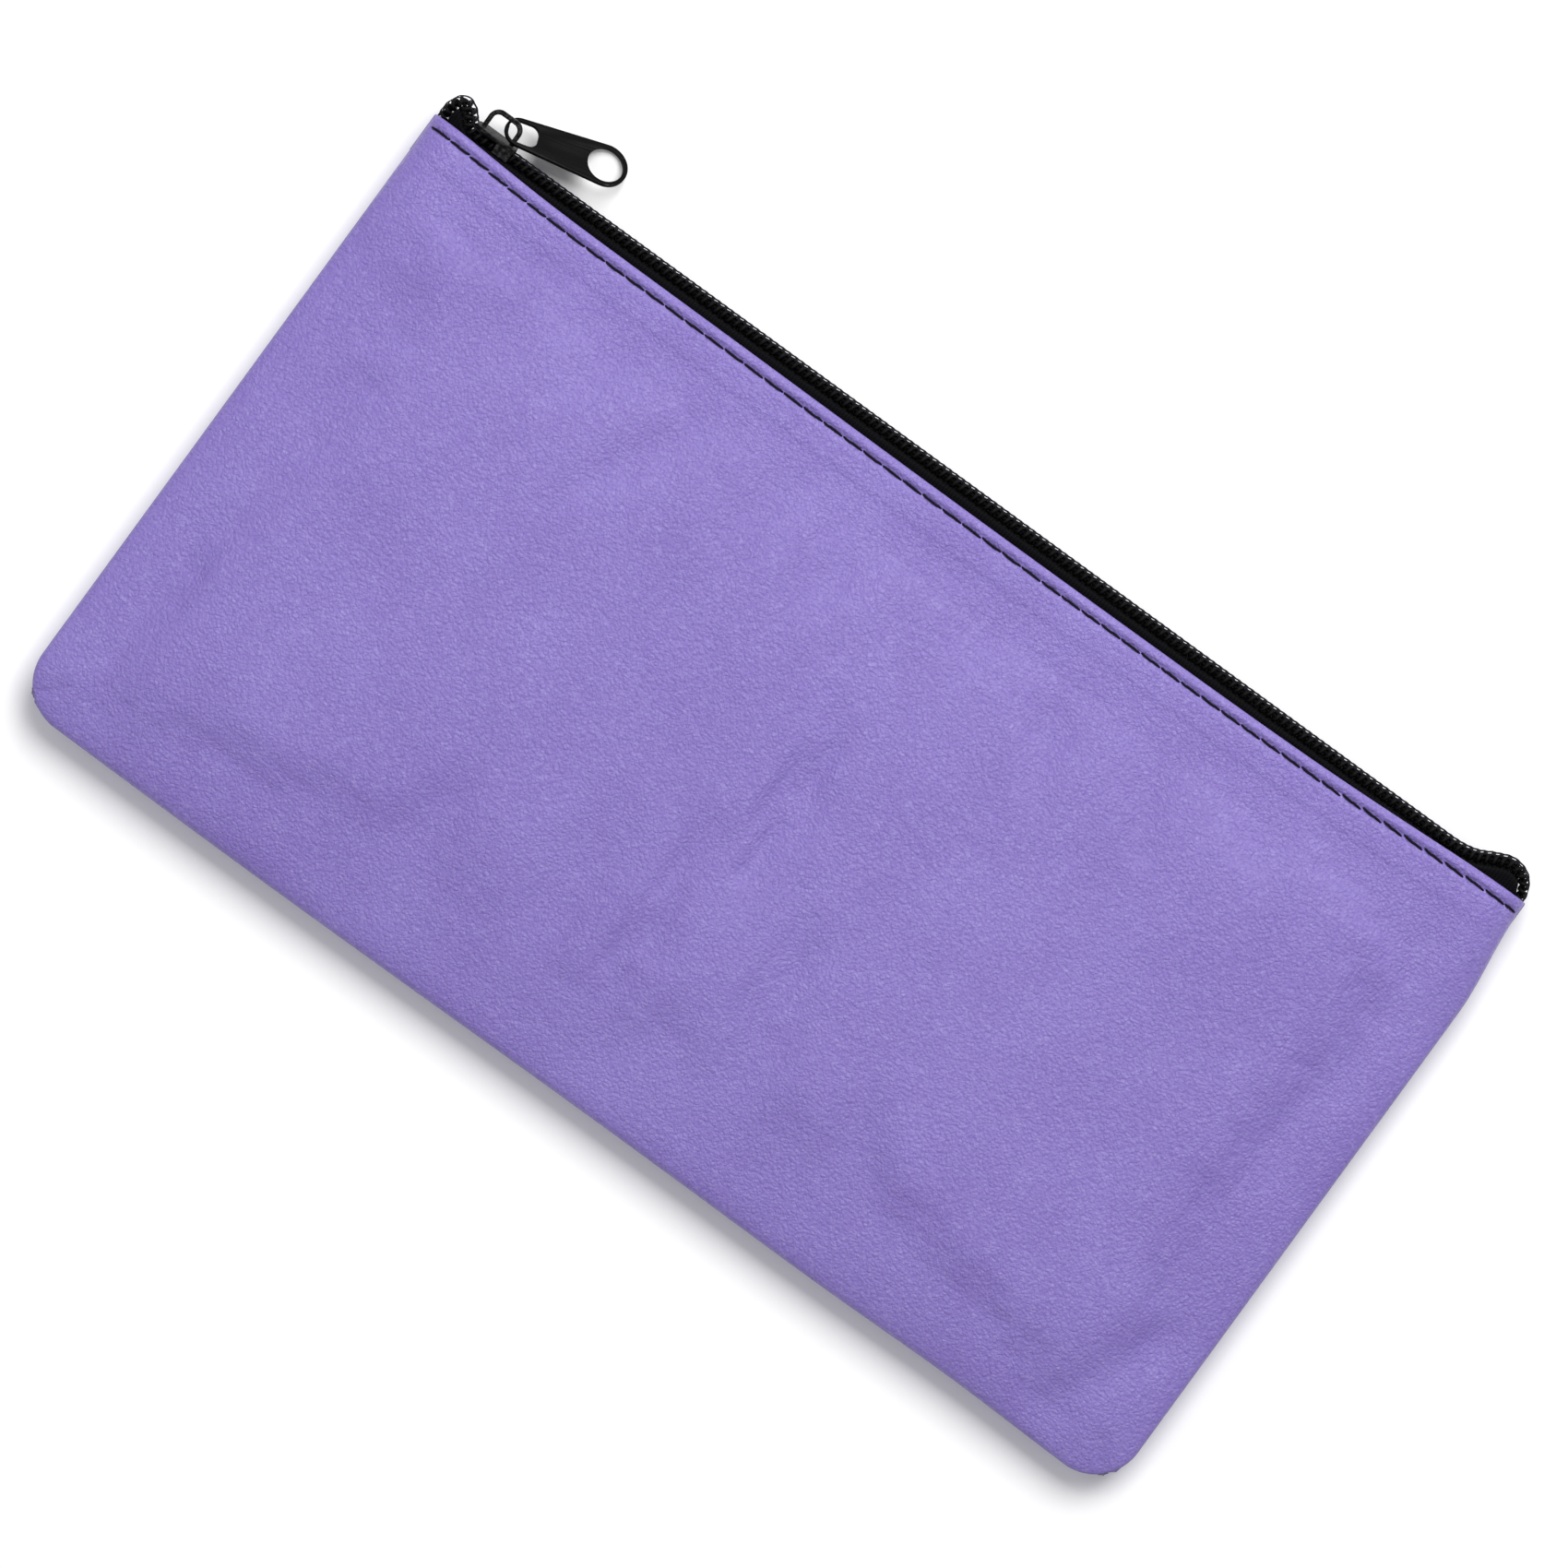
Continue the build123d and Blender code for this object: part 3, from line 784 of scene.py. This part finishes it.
def make_coil(word, side):
    """The nylon filament of one half of the zip, wound as a flattened coil."""
    samples = 16
    half_width = (COIL_REACH + TOOTH_OVERLAP) / 2 - WIRE
    middle = (COIL_REACH - TOOTH_OVERLAP) / 2
    half_height = COIL_HEIGHT / 2 - WIRE
    turns = int(chain_length / COIL_PITCH) - 1
    points, away = [], []
    for k in range(turns * samples):
        angle = 2 * math.pi * k / samples
        c, s = math.cos(angle), math.sin(angle)
        wide = math.copysign(abs(c) ** 0.7, c)
        high = math.copysign(abs(s) ** 0.8, s)
        place = COIL_PITCH * (k / samples + (0.5 if side == FRONT else 1.0))
        point, out = chain_point(place, side, middle + half_width * wide, half_height * high)
        points.append(point)
        away.append(side * ACROSS * c + out * s)
    coil = tubes(f"{word}_coil_filament", [(points, away, [WIRE] * len(points))], NYLON)
    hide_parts(f"{word}_coil")
    return coil


def line_along_chain(side, across, height, radius, spacing, ripple=0.0):
    """A run for a thread that follows the chain."""
    points, away = [], []
    for place in np.arange(0.5 * MM, chain_length - 0.5 * MM, spacing):
        level = height + ripple * math.cos(2 * math.pi * place / COIL_PITCH)
        point, out = chain_point(place, side, across, level)
        points.append(point)
        away.append(out)
    return points, away, [radius] * len(points)


def make_coil_threads(word, side):
    """The cord inside a coil, and the two rows of thread that bind the coil to its tape."""
    middle = (COIL_REACH - TOOTH_OVERLAP) / 2
    cord = tubes(f"{word}_cord", [line_along_chain(side, middle, 0.0, CORD_RADIUS, 1 * MM)], TAPE_CLOTH)
    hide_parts(f"{word}_coil_cord")
    rows = []
    level = COIL_HEIGHT / 2 - BINDING_DEPTH
    for across in BINDING_ROWS:
        row = line_along_chain(side, across, level, BINDING_RADIUS, COIL_PITCH / 6, BINDING_RIPPLE)
        rows.append(row)
    binding = tubes(f"{word}_binding", rows, THREAD, sides=5)
    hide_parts(f"{word}_coil_binding")
    return [cord, binding]


def hem_inside(side, x):
    """The height of the inside of a hem above the seams."""
    x = min(max(x, 0.5 * MM - half_length), half_length - 0.5 * MM)
    height = face_height(side, x, top_y - 6 * MM, half_length - abs(x), top_y - bottom_y)
    return height - 2 * HEM_ROLL


def make_tape(word, side):
    """One woven tape, from its edge under the coil, round to the hem and down inside it."""
    bend, drop = TAPE_TURN[side], TAPE_DROP[side]
    under = -COIL_HEIGHT / 2 - TAPE / 2
    upper = [(0.4 * MM + (bend - 0.9 * MM) * k / 4, under) for k in range(5)]
    upper += [(bend - 0.15 * MM, under - 0.08 * MM), (bend, under - drop - 0.2 * MM)]
    rows = []
    for place in np.arange(0, chain_length, 1.2 * MM):
        centre, out = chain_frame(place)
        ends = 0.6 + 0.4 * smooth(min(place, chain_length - place) / (5 * MM))
        row = []
        for across, height in upper:
            row.append(Vector(centre + side * ACROSS * across * ends + out * height))
        x = min(max(centre[0], 3.4 * MM - half_length), half_length - 3.4 * MM - SIDE_PULL)
        fold = top_y + edge_rise(x)
        level = seam_level + side * (hem_inside(side, x) - TAPE / 2 - TAPE_GAP)
        for down in (-0.1 * MM, 2 * MM, 4 * MM, 6.5 * MM, 9 * MM):
            row.append(Vector((x, fold - down, level)))
        rows.append(row)
    flat = [p for row in rows for p in row]
    faces = grid_faces(len(rows), len(rows[0]), flip=side == FRONT)
    tape = new_object(f"{word}_woven_tape", flat, faces, TAPE_CLOTH)
    smoother = tape.modifiers.new("smooth", "SUBSURF")
    smoother.levels = smoother.render_levels = 1
    solidify(tape, TAPE, 0.0)
    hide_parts(f"{word}_tape")
    return tape


def stitch_run(start, end, surface, sag):
    """One stitch: it leaves a needle hole, lies on the surface and goes down into the next hole."""
    points, away, radii = [], [], []
    for k in range(13):
        t = 0.5 - 0.5 * math.cos(math.pi * k / 12)
        x = start[0] + (end[0] - start[0]) * t
        y = start[1] + (end[1] - start[1]) * t
        level, normal = surface(x, y)
        lift = THREAD_RADIUS * 0.85 - sag * abs(2 * t - 1) ** 8
        points.append(np.array((x, y, level)) + normal * lift)
        away.append(normal)
        radii.append(THREAD_RADIUS * (1 - 0.25 * abs(2 * t - 1) ** 4))
    return points, away, radii


def make_topstitches(word, side, panel):
    """The lockstitch along a hem: needle thread on the vinyl and bobbin thread inside the tape."""
    places = [v.co for v in panel.data.vertices]
    tree = BVHTree.FromPolygons(places, [p.vertices for p in panel.data.polygons])

    def on_face(x, y):
        above = Vector((x, y, seam_level + side * 0.1))
        hit, normal, _, _ = tree.ray_cast(above, Vector((0, 0, -side)))
        normal = normal if normal.z * side > 0 else -normal
        return hit.z, np.array(normal)

    def on_tape(x, y):
        level = seam_level + side * (hem_inside(side, x) - TAPE - 0.1 * MM)
        return level, np.array((0.0, 0.0, -float(side)))

    random.seed(11 + side)
    needle, bobbin = [], []
    x = 0.9 * MM - half_length
    last_x = half_length - SIDE_PULL - 0.8 * MM
    while x < last_x - 0.8 * MM:
        end_x = min(x + STITCH_PITCH, last_x)
        middle = top_y - STITCH_INSET + random.uniform(-STITCH_STRAY, STITCH_STRAY) * MM
        low = middle + edge_rise(x) - STITCH_SLANT
        high = middle + edge_rise(end_x) + STITCH_SLANT
        start, end = (x + STITCH_GAP, high), (end_x - STITCH_GAP, low)
        needle.append(stitch_run(start, end, on_face, NEEDLE_SAG))
        if abs(x + STITCH_PITCH / 2) < half_length - 9 * MM:
            bobbin.append(stitch_run(start, end, on_tape, BOBBIN_SAG))
        x = end_x
    pieces = []
    for name, runs in (("topstitch", needle), ("topstitch_bobbin", bobbin)):
        stitches = tubes(f"{word}_{name}_thread", runs, THREAD, sides=8)
        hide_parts(f"{word}_{name}")
        pieces.append(stitches)
    return pieces


def seam_line(inset):
    """Points round the sides and bottom of the bag, moved in from its outline."""
    radius = CORNER - inset
    side_x, low_y = half_length - inset, bottom_y + inset
    line = [(-side_x, top_y - 3 * MM), (-side_x, bottom_y + CORNER)]
    for k in range(1, 8):
        angle = math.pi * (1 + k / 16)
        centre = (CORNER - half_length, bottom_y + CORNER)
        line.append((centre[0] + radius * math.cos(angle), centre[1] + radius * math.sin(angle)))
    line.append((CORNER - half_length, low_y))
    line += [(-x, y) for x, y in reversed(line)]
    return [(x - side_pull(x, y), y) for x, y in line]


def make_seam_stitches(word, side):
    """The lockstitch round the sides and bottom, on the cloth of the seam allowance."""
    line = seam_line(SEAM_STITCH_INSET)
    level = seam_level + side * (EDGE_GAP + SKIN + LINING + 0.06 * MM)

    def on_allowance(x, y):
        return level, np.array((0.0, 0.0, float(side)))

    runs = []
    for start, end in zip(line, line[1:]):
        span = math.dist(start, end)
        count = max(1, round(span / SEAM_STITCH_PITCH))
        for k in range(count):
            first, last = k + SEAM_STITCH_GAP, k + 1 - SEAM_STITCH_GAP
            a = [p + (q - p) * first / count for p, q in zip(start, end)]
            b = [p + (q - p) * last / count for p, q in zip(start, end)]
            runs.append(stitch_run(a, b, on_allowance, SEAM_SAG))
    stitches = tubes(f"{word}_seam_thread", runs, THREAD)
    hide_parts(f"{word}_seam_stitch")
    return stitches


def refined(node, name, material, body, width):
    """A copy of a cast or stamped CAD piece with its edges rounded."""
    piece = bpy.data.objects.new(name, bpy.data.objects[node].data.copy())
    bpy.context.scene.collection.objects.link(piece)
    piece.data.materials.clear()
    piece.data.materials.append(material)
    shape = bmesh.new()
    shape.from_mesh(piece.data)
    bmesh.ops.remove_doubles(shape, verts=shape.verts, dist=0.005 * MM)
    edges, points = shape.edges, shape.verts
    bmesh.ops.dissolve_limit(shape, angle_limit=math.radians(1.0), verts=points, edges=edges)
    shape.to_mesh(piece.data)
    shape.free()
    rounding = piece.modifiers.new("rounding", "BEVEL")
    rounding.width = width
    rounding.segments = 3
    rounding.limit_method = "ANGLE"
    rounding.angle_limit = math.radians(40)
    rounding.harden_normals = True
    apply_modifiers(piece)
    piece.data.polygons.foreach_set("use_smooth", [True] * len(piece.data.polygons))
    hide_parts(node)
    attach(piece, body)


for word, side in SIDES:
    pieces = [make_coil(word, side), make_tape(word, side), make_seam_stitches(word, side)]
    pieces += make_coil_threads(word, side) + make_topstitches(word, side, panels[word])
    for piece in pieces:
        if side == FRONT:
            open_with_front(piece)
        else:
            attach(piece, "back")
refined("slider_body", "slider_casting", SLIDER_ENAMEL, "slider", 0.14 * MM)
refined("pull_tab", "stamped_pull_tab", TAB_ENAMEL, "tab", 0.16 * MM)

# ---------------------------------------------------------------- stage


def make_floor():
    n = Nodes("pale_floor")
    n.set(Base_Color=(0.93, 0.93, 0.935, 1), Roughness=0.9, Specular_IOR_Level=0.1)
    size = 3.0
    corners = [(-size, -size, 0), (size, -size, 0), (size, size, 0), (-size, size, 0)]
    floor = new_object("floor", corners, [(0, 1, 2, 3)], n.material, smooth_faces=False)
    floor.location.z = cad_low.z - 0.05 * MM


def make_light(name, place, target, size, power):
    data = bpy.data.lights.new(name, "AREA")
    data.shape = "RECTANGLE"
    data.size, data.size_y = size
    data.energy = power
    light = bpy.data.objects.new(name, data)
    light.location = place
    light.rotation_euler = (Vector(target) - Vector(place)).to_track_quat("-Z", "Y").to_euler()
    bpy.context.scene.collection.objects.link(light)


ROLL = math.radians(36.1)  # of the picture about the line of sight
VIEW_WIDTH = 0.3225  # metres across the picture
VIEW_MIDDLE = Vector((-0.0004, 0.0033, 0.012))


def make_camera():
    data = bpy.data.cameras.new("camera")
    data.lens = 200
    camera = bpy.data.objects.new("camera", data)
    distance = VIEW_WIDTH * data.lens / data.sensor_width
    camera.location = VIEW_MIDDLE + Vector((0, 0, distance))
    camera.rotation_euler = (0, 0, ROLL)
    data.clip_start = 0.01
    bpy.context.scene.collection.objects.link(camera)
    bpy.context.scene.camera = camera


def make_world():
    world = bpy.data.worlds.new("world")
    world.use_nodes = True
    world.node_tree.nodes["Background"].inputs["Color"].default_value = (1, 1, 1, 1)
    world.node_tree.nodes["Background"].inputs["Strength"].default_value = 0.42
    bpy.context.scene.world = world


def in_picture(right, up, height):
    """A place given by its directions in the picture and its height over the table."""
    picture_right = Vector((math.cos(ROLL), math.sin(ROLL), 0))
    picture_up = Vector((-math.sin(ROLL), math.cos(ROLL), 0))
    return picture_right * right + picture_up * up + Vector((0, 0, height))


make_floor()
make_light("key", in_picture(0.42, 0.62, 1.1), (0, 0, 0), size=(0.85, 0.85), power=18)
make_light("fill", in_picture(-0.9, 0.1, 1.1), (0, 0, 0), size=(1.2, 1.2), power=3)
make_camera()
make_world()
bpy.context.scene.view_settings.view_transform = "Standard"
